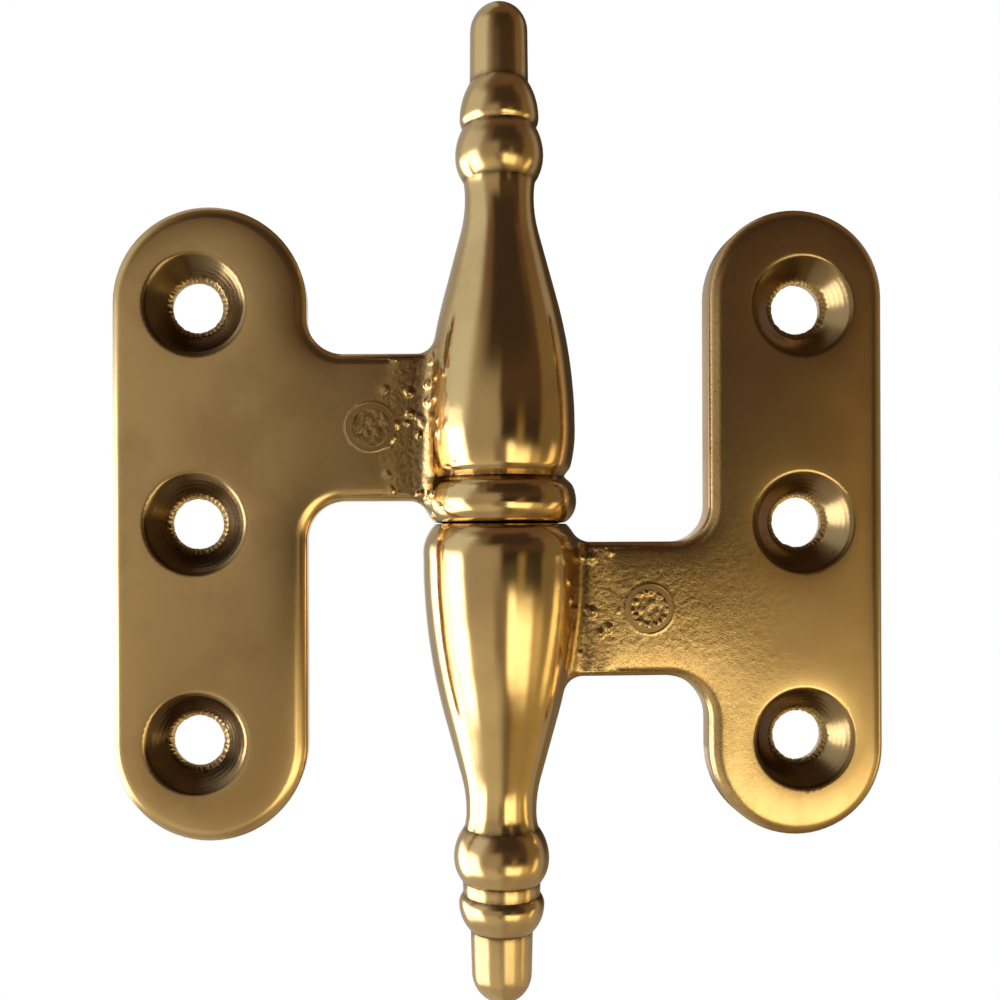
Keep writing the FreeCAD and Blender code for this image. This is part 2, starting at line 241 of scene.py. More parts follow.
# How uneven the lattice is, so that no four of its points share a circle
UNEVEN = 0.15
UNEVEN_ACROSS = (12.9, 7.3)
UNEVEN_UP = (5.7, -11.1)


def lattice(low, high, spacing):
    """Points of an uneven triangular lattice in a rectangle of the XZ plane."""
    row_height = spacing * math.sqrt(3) / 2
    points = []
    for row in range(int((high.z - low.z) / row_height) + 1):
        shift = spacing / 2 if row % 2 else 0.0
        for column in range(int((high.x - low.x) / spacing) + 1):
            across = low.x + shift + column * spacing
            up = low.z + row * row_height
            across += UNEVEN * spacing * math.sin(UNEVEN_ACROSS[0] * row + UNEVEN_ACROSS[1] * column)
            up += UNEVEN * spacing * math.sin(UNEVEN_UP[0] * row + UNEVEN_UP[1] * column)
            points.append(Vector((across, 0.0, up)))
    return points


def sides(triangle):
    return zip(triangle, (*triangle[1:], triangle[0]))


def inside_triangles(triangles, fixed):
    """The triangles of the front: from the outline inwards, with a change of side at each fixed edge."""
    neighbours = {}
    for number, triangle in enumerate(triangles):
        for side in sides(triangle):
            neighbours.setdefault(frozenset(side), []).append(number)
    inside = {numbers[0]: True for numbers in neighbours.values() if len(numbers) == 1}
    waiting = list(inside)
    while waiting:
        number = waiting.pop()
        for side in sides(triangles[number]):
            edge = frozenset(side)
            for other in neighbours[edge]:
                if other not in inside:
                    inside[other] = inside[number] != (edge in fixed)
                    waiting.append(other)
    return [triangle for number, triangle in enumerate(triangles) if inside[number]]


def point_tree(points):
    tree = kdtree.KDTree(len(points))
    for index, point in enumerate(points):
        tree.insert(point, index)
    tree.balance()
    return tree


def spread_out(points, distance):
    """The points, without those that stand too near an earlier one."""
    cells = {}
    kept = []
    for point in points:
        column = math.floor(point.x / distance)
        row = math.floor(point.z / distance)
        around = [(column + right, row + up) for right in (-1, 0, 1) for up in (-1, 0, 1)]
        if all((point - other).length >= distance for cell in around for other in cells.get(cell, [])):
            cells.setdefault((column, row), []).append(point)
            kept.append(point)
    return kept


def rim_row(rim, distance):
    """Points beside the middles of the rim's rounded edges, on the side of the front."""
    points = []
    for edge in rim:
        middle = (edge.verts[0].co + edge.verts[1].co) / 2
        along = (edge.verts[1].co - edge.verts[0].co).normalized()
        away = middle - edge.link_faces[0].calc_center_median()
        away.y = 0
        away -= along * away.dot(along)
        if away.length > TOUCH:
            points.append(middle + away.normalized() * distance)
    return points


# Distances from the rim of the rows of points that follow it
RIM_ROWS = (0.16 * MM, 0.36 * MM, 0.6 * MM)

# Longest edge of the rim, and nearest that rows and lattice come to it, as shares of the spacing
RIM_STRETCH = 1.4
ROW_CLEARANCE = 0.8
LATTICE_CLEARANCE = 0.6

# Settings of the triangulation
INSIDE_OUTLINE = 1
SAME_POINT = 1e-6


def front_points(leaf, settings, rim, rim_verts):
    """Points to fill the front with: rows along the rim, and lattices that are finer on the neck."""
    places = [vert.co for vert in rim_verts]
    near_rim = point_tree(places)
    points = []
    for row in RIM_ROWS:
        points += [point for point in rim_row(rim, row) if near_rim.find(point)[2] > ROW_CLEARANCE * row]
    points = spread_out(points, RIM_ROWS[0])
    near_rim = point_tree(places + points)
    low = Vector(min(line) for line in zip(*places))
    high = Vector(max(line) for line in zip(*places))
    for spacing, on_neck in ((settings.spacing, False), (settings.fine_spacing, True)):
        for point in lattice(low, high, spacing):
            point.y = leaf.front
            wanted = (leaf.from_axis(point) < NECK_END) == on_neck
            if wanted and near_rim.find(point)[2] > LATTICE_CLEARANCE * spacing:
                points.append(point)
    return points


def fill_front(bm, leaf, settings):
    """Fill the flat front anew with even triangles, finer on the neck and the mark."""
    flat = [face for face in bm.faces if in_flat_front(face, leaf)]
    bmesh.ops.delete(bm, geom=flat, context="FACES")
    for edge in rim_edges(bm, leaf):
        cuts = int(edge.calc_length() / (settings.spacing * RIM_STRETCH))
        if cuts:
            bmesh.ops.bisect_edges(bm, edges=[edge], cuts=cuts)
    rim = rim_edges(bm, leaf)
    rim_verts = list({vert: None for edge in rim for vert in edge.verts})
    number = {vert: index for index, vert in enumerate(rim_verts)}
    places = [vert.co for vert in rim_verts] + front_points(leaf, settings, rim, rim_verts)
    scaled = [place.xz / MM for place in places]
    rims = [(number[edge.verts[0]], number[edge.verts[1]]) for edge in rim]
    _, _, triangles, sources, _, _ = geometry.delaunay_2d_cdt(scaled, rims, [], INSIDE_OUTLINE, SAME_POINT)
    verts = []
    for source in sources:
        old = min(source)
        if old < len(rim_verts):
            verts.append(rim_verts[old])
        else:
            verts.append(bm.verts.new((places[old].x, leaf.front, places[old].z)))
    given = {old: index for index, source in enumerate(sources) for old in source}
    fixed = {frozenset((given[first], given[second])) for first, second in rims}
    for triangle in inside_triangles(triangles, fixed):
        face = bm.faces.new([verts[index] for index in triangle])
        face.normal_update()
        if face.normal.y > 0:
            face.normal_flip()
    loose = [vert for vert in bm.verts if not vert.link_faces]
    bmesh.ops.delete(bm, geom=loose, context="VERTS")
    bmesh.ops.holes_fill(bm, edges=rim_edges(bm, leaf), sides=4)


def refine(bm, wanted, longest):
    """Split the edges of faces with a wanted middle and normal until none is longer than asked."""
    for _ in range(HALVINGS):
        chosen = [face for face in bm.faces if wanted(face.calc_center_median(), face.normal)]
        long_edges = (edge for face in chosen for edge in face.edges if edge.calc_length() > longest)
        edges = list(dict.fromkeys(long_edges))
        if not edges:
            break
        bmesh.ops.subdivide_edges(bm, edges=edges, cuts=1)
        many = [face for face in bm.faces if len(face.verts) > 4]
        bmesh.ops.triangulate(bm, faces=many, quad_method="BEAUTY", ngon_method="BEAUTY")


def round_holes(bm, leaf):
    """Put the points of countersinks and holes on their true cones and cylinders."""
    for vert in bm.verts:
        if leaf.from_axis(vert.co) < ROOT_END:
            continue
        centre = leaf.nearest_hole(vert.co)
        spoke = Vector((vert.co.x, 0, vert.co.z)) - centre
        true_radius = leaf.hole_radius + max(leaf.front + SINK_DEPTH - vert.co.y, 0.0)
        if 0 < abs(spoke.length - true_radius) < HOLE_ERROR and vert.co.y > leaf.front + LIP_END:
            place = centre + spoke.normalized() * true_radius
            vert.co.x = place.x
            vert.co.z = place.z


# The groove over the upper knuckle's ring
GROOVE_HEIGHT = 4.15 * MM
GROOVE_WIDTH = 0.5 * MM
GROOVE_DEPTH = 0.32 * MM
GROOVE_REACH = 3
GROOVE_SPACING = 0.3 * MM
GROOVE_RADII = (4 * MM, 9 * MM)
GROOVE_SIDE = (5.8 * MM, 7.0 * MM)


def widen_groove(bm, leaf):
    """Round the foot of the upper knuckle into the groove over its ring."""

    def near_groove(middle, _):
        return (abs(middle.z - leaf.joint - GROOVE_HEIGHT) < GROOVE_REACH * GROOVE_WIDTH
                and leaf.from_axis(middle) < ROOT_END)

    refine(bm, near_groove, GROOVE_SPACING)
    for vert in bm.verts:
        spoke = Vector((vert.co.x, vert.co.y, 0))
        if not GROOVE_RADII[0] < spoke.length < GROOVE_RADII[1]:
            continue
        off = (vert.co.z - leaf.joint - GROOVE_HEIGHT) / GROOVE_WIDTH
        share = 1 - smooth_between(*GROOVE_SIDE, leaf.from_axis(vert.co))
        depth = GROOVE_DEPTH * math.exp(-off * off) * share
        vert.co.xy = (spoke * (1 - depth / spoke.length)).xy


# The upper knuckle's face at the joint
BEARING_INSET = 0.7 * MM
BEARING_HEIGHT = 0.12 * MM
BEARING_REACH = 8 * MM
JOINT_REACH = 0.2 * MM


def raise_bearing(bm, leaf):
    """Let the inner part of the joint's face stand out, so that only a thin groove shows round it."""
    flat = [face for face in bm.faces
            if face.normal.z < -SQUARE
            and all(abs(vert.co.z - leaf.joint) < JOINT_REACH for vert in face.verts)
            and face.calc_center_median().xy.length < BEARING_REACH]
    bmesh.ops.inset_region(
        bm, faces=flat, thickness=BEARING_INSET, depth=BEARING_HEIGHT, use_even_offset=True)


def mark_sharp_edges(bm):
    """Keep the edges that turning and drilling left sharp."""
    for face in bm.faces:
        face.smooth = True
    for edge in bm.edges:
        edge.smooth = not (len(edge.link_faces) == 2 and edge.calc_face_angle(0.0) > SHARP_ANGLE)


class Outline:
    """The rim of plate and neck, with the way that leads inwards from it."""

    def __init__(self, edges, leaf):
        self.edges = edges
        self.places = {vert: vert.co.copy() for edge in edges for vert in edge.verts}
        self.inward = {vert: Vector() for vert in self.places}
        middles = []
        for edge in edges:
            first, second = (self.places[vert] for vert in edge.verts)
            flat = next(face for face in edge.link_faces if in_flat_front(face, leaf))
            inward = flat.calc_center_median() - first
            along = (second - first).normalized()
            inward = (inward - along * inward.dot(along)).normalized()
            for vert in edge.verts:
                self.inward[vert] += inward
            middles.append((first + second) / 2)
        self.tree = point_tree(middles)

    def nearest(self, point):
        """Distance to the nearest of the rim's edges, and the way inwards there."""
        found = []
        for _, index, _ in self.tree.find_n(point, EDGES_COMPARED):
            first, second = self.edges[index].verts
            _, share = geometry.intersect_point_line(point, self.places[first], self.places[second])
            share = min(max(share, 0.0), 1.0)
            place = self.places[first].lerp(self.places[second], share)
            inward = self.inward[first].normalized().lerp(self.inward[second].normalized(), share)
            found.append(((point - place).length, inward))
        return min(found, key=lambda item: item[0])


def find_outline(bm, leaf, mark):
    """The rim without holes, mark and root."""
    chosen = []
    for edge in bm.edges:
        if not all(on_front(vert, leaf) for vert in edge.verts):
            continue
        flat_sides = [in_flat_front(face, leaf) for face in edge.link_faces]
        middle = (edge.verts[0].co + edge.verts[1].co) / 2
        if flat_sides.count(True) != 1 or leaf.from_axis(middle) < ROOT_END:
            continue
        if leaf.hole_distance(middle) < LIP_RADIUS or (middle - mark).length < MARK_RADIUS + MARK_ROOM:
            continue
        chosen.append(edge)
    return Outline(chosen, leaf)


# Where the roll shades the front, its fade towards the root, and its steepest point
ROLL_SHADED = (1.2 * MM, 2.2 * MM)
ROLL_SIDE = (ROOT_END, ROOT_END + 2 * MM)
ROLL_LIMIT = 0.9999


def edge_roll(depth, rim, settings):
    """Depth and slope of the curve in which the front rolls over into the wall."""
    if depth > TOUCH:
        left = EDGE_ROUND - min(depth, EDGE_ROUND)
        inward = EDGE_ROUND - math.sqrt(EDGE_ROUND ** 2 - left ** 2)
    else:
        inward = EDGE_ROUND + rim
    outward = min(max(1 - inward / settings.roll_width, 0.0), ROLL_LIMIT)
    level = math.sqrt(1 - outward ** 2)
    crown = settings.crown_depth * math.exp((EDGE_ROUND - inward) / settings.crown_width)
    slope = settings.roll_depth * outward / (settings.roll_width * level) + crown / settings.crown_width
    return settings.roll_depth * (1 - level) + crown, slope


def turned_rows(bm, wanted):
    """Radius and distance from the middle of each row of points that turning left, going outwards."""
    rows = {}
    for vert in bm.verts:
        outside = vert.co.xy.length < TOUCH or vert.normal.xy.dot(vert.co.xy) > 0
        if outside and wanted(vert.co):
            rows[round(vert.co.z / HAIR)] = Vector((vert.co.xy.length, abs(vert.co.z)))
    return sorted(rows.values(), key=lambda row: row.y)


# The vase: heights, the length over which its slope flows, and its root
BODY_SPAN = (3.0 * MM, 28.5 * MM)
BODY_EASE = 1.0 * MM
BODY_SIDE = (3.0 * MM, 4.4 * MM)


class TurnedBody:
    """The turned vase of a knuckle, with one flowing slope along its height."""

    def __init__(self, bm, leaf):
        self.leaf = leaf
        low, high = BODY_SPAN
        rows = turned_rows(bm, lambda point: low < point.z * leaf.out < high and leaf.from_axis(point) < 0)
        self.stretches = list(zip(rows, rows[1:]))

    def share(self, point):
        """1 on the turned part, 0 on its grooves and its root."""
        low, high = BODY_SPAN
        height = point.z * self.leaf.out
        inside = smooth_between(low, low + BODY_EASE, height)
        inside *= 1 - smooth_between(high - BODY_EASE, high, height)
        return inside * (1 - smooth_between(*BODY_SIDE, self.leaf.from_axis(point)))

    def carries(self, point, normal):
        return normal.xy.dot(point.xy) > 0 and self.share(point) > 0

    def radius(self, point):
        """True radius at the point's height, or nothing off the vase."""
        height = point.z * self.leaf.out
        for low, high in self.stretches:
            if low.y <= height <= high.y:
                return low.x + (high.x - low.x) * (height - low.y) / (high.y - low.y)
        return None

    def normal(self, point):
        height = point.z * self.leaf.out
        total = 0.0
        fall = 0.0
        for low, high in self.stretches:
            weight = math.exp(-((height - (low.y + high.y) / 2) / BODY_EASE) ** 2)
            total += weight * (high.y - low.y)
            fall += weight * (high.x - low.x)
        return Vector((*point.xy.normalized(), -self.leaf.out * fall / total)).normalized()


# Distances from the middle of the finials' grooves, from the vase to beyond the tip
FINIAL_GROOVES = {
    "upper": (26.0 * MM, 28.83 * MM, 33.6 * MM, 37.68 * MM, 45.0 * MM),
    "lower": (26.0 * MM, 29.16 * MM, 34.01 * MM, 35.11 * MM, 38.41 * MM, 45.0 * MM),
}
FINIAL_START = 27.4 * MM
FINIAL_RADIUS = 5.0 * MM
# Width of the painted shade in the finials' grooves
GROOVE_SHADE_WIDTH = 0.24 * MM


class Finial:
    """Beads and tip of a knuckle, each with its own curve between two grooves."""

    def __init__(self, bm, leaf):
        self.out = leaf.out
        self.ends = FINIAL_GROOVES[leaf.side]
        self.grooves = self.ends[1:-1]
        rows = turned_rows(bm, lambda point: self.carries(point, self.ends[0]))
        self.curves = [self.curve([row for row in rows if low - ROOM < row.y < high + ROOM])
                       for low, high in zip(self.ends, self.ends[1:])]

    @staticmethod
    def curve(rows):
        """Stretches of one bead: both ends, with the way along the curve at each."""
        runs = [second - first for first, second in zip(rows, rows[1:])]
        ways = [(before / before.length_squared + after / after.length_squared).normalized()
                for before, after in zip(runs, runs[1:])]
        first = -ways[0].reflect(runs[0].normalized()).normalized()
        last = -ways[-1].reflect(runs[-1].normalized()).normalized()
        ways = [first, *ways, last]
        return list(zip(rows, rows[1:], ways, ways[1:]))

    def carries(self, point, start=FINIAL_START):
        return point.z * self.out > start and point.xy.length < FINIAL_RADIUS

    def place(self, point, height):
        """Nearest place on the curve at a height, and its normal."""
        number = sum(groove < height * self.out for groove in self.grooves)
        here = Vector((point.xy.length, point.z * self.out))
        found = []
        for start, end, start_way, end_way in self.curves[number]:
            share = (here - start).dot(end - start) / (end - start).length_squared
            share = min(max(share, 0.0), 1.0)
            place = start.lerp(end, share)
            found.append(((here - place).length, place, start_way.lerp(end_way, share).normalized()))
        _, place, way = min(found, key=lambda item: item[0])
        side = point.xy.normalized()
        return (Vector((*(side * place.x), self.out * place.y)),
                Vector((*(side * way.y), -self.out * way.x)).normalized())

    def dirt_and_shade(self, point):
        """Share of painted shade: 1 in a groove, 0 away from it."""
        off = min(abs(point.z * self.out - groove) for groove in self.grooves) / GROOVE_SHADE_WIDTH
        return math.exp(-off * off)


def make_round(bm, body, finial):
    """Put points that were added on the turned parts on their true radius."""
    for vert in bm.verts:
        if finial.carries(vert.co):
            vert.co = finial.place(vert.co, vert.co.z)[0]
        elif body.share(vert.co) > 0:
            radius = body.radius(vert.co)
            if radius and abs(vert.co.xy.length - radius) < BODY_ERROR:
                vert.co.xy = vert.co.xy.normalized() * radius


# The sand's skin: span and strength along each neck, and its uneven edge
CAST_REACH = {"upper": (9.5 * MM, 14.0 * MM, 0.3), "lower": (13.0 * MM, 31.0 * MM, 0.85)}
SKIN_EDGE = 1.4 * MM
SKIN_EDGE_SIZE = 2.2 * MM


def casting_share(leaf, point):
    """How much of the sand's skin polishing left: all beside the knuckle, less along the neck."""
    start, end, strength = CAST_REACH[leaf.side]
    away = leaf.from_axis(point)
    if away > ROOT_END - MM:
        away += SKIN_EDGE * noise.noise(point / SKIN_EDGE_SIZE)
    beside = 1 - smooth_between(ROOT_END, LUMPS_END, away)
    along = strength * (1 - smooth_between(start, end, away))
    if away < ROOT_START:
        return 0.0
    return max(beside, along) * smooth_between(ROOT_START, SKIN_START, away)


# Layers of the sand grain: share, scale and shift
GRAIN_LAYERS = (
    (0.55, 1.0, Vector((0.0, 0.0, 0.0))),
    (0.3, 2.1, Vector((7.1, 3.3, 1.7))),
    (0.25, 0.45, Vector((2.9, 8.4, 5.2))),
)


def grain(point, size):
    """Sand grain between -1 and 1, from three sizes of noise."""
    here = point / size
    return sum(share * noise.noise(here * scale + shift) for share, scale, shift in GRAIN_LAYERS)


# Beads of metal: spacing and bend in radii, and how many of them are left out
LUMP_SPACING = 3.0
LUMP_BEND = 0.3
LUMP_BEND_SIZE = 0.9
LUMP_CHOICE = 7.7
LUMPS_LEFT_OUT = {"upper": -0.12, "lower": 0.12}


def lump(leaf, point, radius):
    """Round beads: 1 on a bead's top, 0 away from it."""
    bent = point + noise.noise_vector(point / (LUMP_BEND_SIZE * radius)) * LUMP_BEND * radius
    distances, centres = noise.voronoi(bent / (LUMP_SPACING * radius))
    chosen = noise.noise(centres[0] * LUMP_CHOICE) > LUMPS_LEFT_OUT[leaf.side]
    height = 1 - (distances[0] * LUMP_SPACING) ** 2
    return math.sqrt(height) if chosen and height > 0 else 0.0


# The stamped discs, with heights in millimetres
MARK_SUNK = -0.12
MARK_GRAIN = {"upper": 0.06, "lower": 0.05}
MARK_GRAIN_SIZE = 0.55 * MM
MARK_GRAIN_SHIFT = Vector((0.02, 0, 0.03))

# The ring of grains in the lower leaf's disc, and how much and how fast each measure strays
BEADS = 14
BEAD_RING = 1.5 * MM
BEAD_RADIUS = 0.24 * MM
BEAD_HEIGHT = 0.15
PLACE_STRAY = (0.25, 4.7)
RING_STRAY = (0.06, 2.9)
HEIGHT_STRAY = (0.05, 7.1)


def stray(index, most, pace):
    return most * math.sin(pace * index)


def mark_relief(leaf, offset):
    """Height of the stamped disc: a sunk floor, with a ring of beads on the lower leaf."""
    height = MARK_SUNK + MARK_GRAIN[leaf.side] * grain(offset + MARK_GRAIN_SHIFT, MARK_GRAIN_SIZE)
    if leaf.side == "lower":
        step = 2 * math.pi / BEADS
        index = round(math.atan2(offset.z, offset.x) / step) % BEADS
        around = (index + stray(index, *PLACE_STRAY)) * step
        ring = BEAD_RING * (1 + stray(index, *RING_STRAY))
        off = math.hypot(offset.x - ring * math.cos(around), offset.z - ring * math.sin(around))
        off /= BEAD_RADIUS
        height += (BEAD_HEIGHT + stray(index, *HEIGHT_STRAY)) * max(1 - off * off, 0.0)
    return height * MM


def flat_normal(vert, leaf):
    """Normal that keeps large faces of plate and neck flat, or a zero vector where edges are sharp."""
    if leaf.from_axis(vert.co) < ROOT_END or not all(edge.smooth for edge in vert.link_edges):
        return Vector()
    if abs(vert.co.y - leaf.back) < TOUCH:
        return BACK_WAY
    return sum((face.normal * face.calc_area() for face in vert.link_faces), Vector()).normalized()


# How deep the front reaches, and where the knuckle's polish fades into the neck
FRONT_DEPTH = 0.2 * MM
TURNED_END = (6.0 * MM, 8.2 * MM)


class Spot:
    """Where one point of a leaf lies before it is moved."""

    def __init__(self, vert, leaf, mark):
        self.point = vert.co.copy()
        self.normal = vert.normal.copy()
        self.away = leaf.from_axis(self.point)
        self.depth = self.point.y - leaf.front
        self.hole = leaf.hole_distance(self.point)
        self.in_mark = math.hypot(self.point.x - mark.x, self.point.z - mark.z)
        self.on_front = abs(self.depth) < TOUCH
        self.on_back = abs(self.point.y - leaf.back) < TOUCH
        self.in_front = self.point.y < leaf.front + FRONT_DEPTH
        self.turned = 1 - smooth_between(*TURNED_END, self.away)


# Start of the polishing waves
WAVE_START = Vector((1.3, 0, 4.1))


def polish(spot, leaf, settings, outline):
    """How polishing moved a point of the front, and the rolled rim's normal with its share there."""
    move = Vector()
    on_plate = spot.away > ROOT_END or spot.on_front
    in_disc = spot.in_mark <= MARK_RADIUS + HAIR
    if not on_plate or in_disc or spot.depth >= EDGE_ROUND + TOUCH:
        return move, None
    keep = 1 - min(max(spot.depth, 0.0) / EDGE_ROUND, 1.0)
    fall = settings.lip_depth * math.exp(-max(spot.hole - LIP_START, 0.0) / settings.lip_width)
    wave = noise.noise(spot.point / settings.wave_length + WAVE_START)
    fall += settings.wave_height * (wave + 1)
    move.y += fall * keep
    rim, inward = outline.nearest(Vector((spot.point.x, leaf.front, spot.point.z)))
    if spot.hole <= LIP_RADIUS:
        move.y += edge_roll(0.0, rim, settings)[0] * keep
        return move, None
    rolled = smooth_between(*ROLL_SIDE, spot.away)
    fall, slope = edge_roll(spot.depth, rim, settings)
    move.y += (fall - max(spot.depth, 0.0)) * rolled
    shaded = rolled * (1 - smooth_between(*ROLL_SHADED, rim))
    if shaded <= 0:
        return move, None
    return move, ((FRONT_WAY - inward * slope).normalized(), shaded)


def cast_relief(spot, leaf, settings):
    """Height of the sand grain and of the beads beside the knuckle."""
    height = settings.grain_height * grain(spot.point, settings.grain_size)
    beside = 1 - smooth_between(ROOT_END, LUMPS_END, spot.away)
    return height + settings.lump_height * beside * lump(leaf, spot.point, settings.lump_radius)


# Burrs in the screw holes
BURR_MEAN = 0.9
BURR_UNEVEN = 0.45
BURR_SIZE = 0.3 * MM
BURR_AT_BACK = 0.25


def burr(spot, leaf, settings):
    """How a burr moves a point of a screw hole's wall."""
    inward = (leaf.nearest_hole(spot.point) - Vector((spot.point.x, 0, spot.point.z))).normalized()
    along = (leaf.back - spot.point.y) / (leaf.back - leaf.front - SINK_DEPTH)
    height = max(BURR_MEAN + BURR_UNEVEN * grain(spot.point, BURR_SIZE), 0.0)
    taper = BURR_AT_BACK + (1 - BURR_AT_BACK) * min(max(along, 0.0), 1.0)
    return inward * settings.burr_height * height * taper


# Painted shade, with some dirt, beside the knuckle and in the grooves round it
CORNER_PLACE = {"upper": 7.4 * MM, "lower": 7.5 * MM}
CORNER_WIDTH = 0.6 * MM
RING_GROOVES = {"upper": (0.0, GROOVE_HEIGHT), "lower": (0.0,)}
RING_SHADE_START = 4.5 * MM
RING_SHADE_WIDTH = 0.34 * MM


def dirt_and_shade(spot, leaf, finial):
    """How much painted shade, with some dirt, lies at a point."""
    share = 0.0
    if spot.in_front:
        off = (spot.away - CORNER_PLACE[leaf.side]) / CORNER_WIDTH
        share = math.exp(-off * off)
    if finial.carries(spot.point):
        share = finial.dirt_and_shade(spot.point)
    elif spot.turned > 0 and spot.point.xy.length > RING_SHADE_START:
        off = min(abs(spot.point.z - leaf.joint - groove) for groove in RING_GROOVES[leaf.side])
        off /= RING_SHADE_WIDTH
        share = max(share, spot.turned * math.exp(-off * off))
    return share


# What the material reads from the mesh
FINISHES = ("casting", "relief", "drilled", "turned", "bore", "wall", "lit_side", "corner")

# Where the finishes start and end
SKIN_FACING = -0.15
DISC_INSET = 0.45 * MM
DISC_RELIEF = 0.3 * MM
DRILLED_EDGE = (4.75 * MM, 4.4 * MM)
WALL_FACING = (0.75, 0.3)

# The side of the countersinks with a painted reflection, where less dark is painted
LIT_SIDE_WAY = Vector((0.95, 0.0, 0.3))
LIT_SIDE_EDGE = (0.1, 0.9)


def finish_leaf(bm, leaf, settings, mark, body, finial):
    """Roll the rim, sink the lips, raise the sand grain and note where each finish lies.

    Gives back the normals for shading, with a zero vector where the mesh's own will do.
    """
    layers = {name: bm.verts.layers.float.new(name) for name in FINISHES}
    outline = find_outline(bm, leaf, mark)
    bm.normal_update()
    moves = {}
    rolls = {}
    for vert in bm.verts:
        spot = Spot(vert, leaf, mark)
        finish = dict.fromkeys(FINISHES, 0.0)
        move, roll = polish(spot, leaf, settings, outline)
        if roll:
            rolls[vert] = roll
        share = casting_share(leaf, spot.point)
        if share > 0 and spot.in_front and spot.normal.y < SKIN_FACING and spot.hole > LIP_RADIUS:
            height = cast_relief(spot, leaf, settings)
            height *= share if spot.in_mark > MARK_RADIUS else 0.0
            move += spot.normal * height
            finish["relief"] = height / settings.grain_height
        if spot.in_mark < MARK_RADIUS - DISC_INSET and spot.on_front:
            height = mark_relief(leaf, spot.point - mark)
            move.y -= height
            finish["relief"] = height / DISC_RELIEF
            share = 1.0
        if spot.hole < leaf.hole_radius + ROOM and spot.away > ROOT_END:
            move += burr(spot, leaf, settings)
            finish["bore"] = 0.0 if spot.on_back else 1.0
        if body.carries(spot.point, spot.normal):
            rolls[vert] = body.normal(spot.point), body.share(spot.point)
        if spot.in_front:
            finish["casting"] = share
        if spot.depth > HAIR and spot.away > ROOT_END and not spot.on_back:
            finish["drilled"] = smooth_between(*DRILLED_EDGE, spot.hole)
            spoke = (spot.point - leaf.nearest_hole(spot.point)).normalized()
            # Painted reflection: the lit side of each countersink
            finish["lit_side"] = smooth_between(*LIT_SIDE_EDGE, spoke.dot(LIT_SIDE_WAY))
        finish["turned"] = spot.turned
        # Painted shade, with some dirt, in corners and grooves
        finish["corner"] = dirt_and_shade(spot, leaf, finial)
        if not spot.on_back:
            finish["wall"] = smooth_between(*WALL_FACING, abs(spot.normal.y)) * (1 - spot.turned)
        for name, value in finish.items():
            vert[layers[name]] = value
        moves[vert] = move
    for vert, move in moves.items():
        vert.co += move
    bm.normal_update()
    return [vert.normal.lerp(*rolls[vert]) if vert in rolls else flat_normal(vert, leaf)
            for vert in bm.verts]


def corner_normals(mesh, leaf, normals, body, finial):
    """Normals of all corners: flat on the back, curved on the finial, and each point's own elsewhere."""
    for face in mesh.polygons:
        on_back = face.normal.y > BACK_SQUARE and abs(face.center.y - leaf.back) < TOUCH
        for index in face.vertices:
            if on_back:
                yield BACK_WAY
            elif finial.carries(face.center):
                point = mesh.vertices[index].co
                yield finial.place(point, face.center.z)[1].lerp(body.normal(point), body.share(point))
            else:
                yield normals[index]


# Longest edges of root, countersinks, holes, vase and finial, and which faces these take in
FINE_EDGES = (0.32 * MM, 0.45 * MM, 0.22 * MM, 0.5 * MM, 0.3 * MM)
ROOT_FACING = 0.3
SINK_RADIUS = 4.6 * MM
WELD = 0.002 * MM


def refine_leaf(bm, leaf, body, finial):
    """Give root, countersinks, holes and turned parts finer meshes."""

    def in_root(middle, normal):
        return (ROOT_START < leaf.from_axis(middle) < ROOT_END + MM and middle.y < leaf.front - TOUCH
                and normal.y < ROOT_FACING)

    def in_sink(middle, _):
        return (leaf.hole_distance(middle) < SINK_RADIUS and leaf.from_axis(middle) > ROOT_END
                and leaf.front + ROOM < middle.y < leaf.back - ROOM)

    def in_hole(middle, _):
        near = leaf.hole_distance(middle) < leaf.hole_radius + HAIR
        return near and leaf.from_axis(middle) > ROOT_END

    def in_finial(middle, _):
        return finial.carries(middle)

    for wanted, longest in zip((in_root, in_sink, in_hole, body.carries, in_finial), FINE_EDGES):
        refine(bm, wanted, longest)


def make_leaf(side, settings, material):
    """The dressed leaf that stands for its plain solid."""
    leaf = LeafMap(side)
    bm = bmesh.new()
    bm.from_mesh(leaf.node.data)
    bmesh.ops.remove_doubles(bm, verts=bm.verts, dist=WELD)
    bm.normal_update()
    body = TurnedBody(bm, leaf)
    finial = Finial(bm, leaf)
    mark = find_mark(bm, leaf)
    fill_front(bm, leaf, settings)
    refine_leaf(bm, leaf, body, finial)
    make_round(bm, body, finial)
    round_holes(bm, leaf)
    if side == "upper":
        widen_groove(bm, leaf)
        raise_bearing(bm, leaf)
    mark_sharp_edges(bm)
    normals = finish_leaf(bm, leaf, settings, mark, body, finial)
    mesh = bpy.data.meshes.new(f"{side}_leaf_casting")
    bm.to_mesh(mesh)
    bm.free()
    mesh.normals_split_custom_set(list(corner_normals(mesh, leaf, normals, body, finial)))
    mesh.materials.append(material)
    piece = bpy.data.objects.new(mesh.name, mesh)
    bpy.context.scene.collection.objects.link(piece)
    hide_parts(leaf.node.name)
    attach(piece, leaf.body)


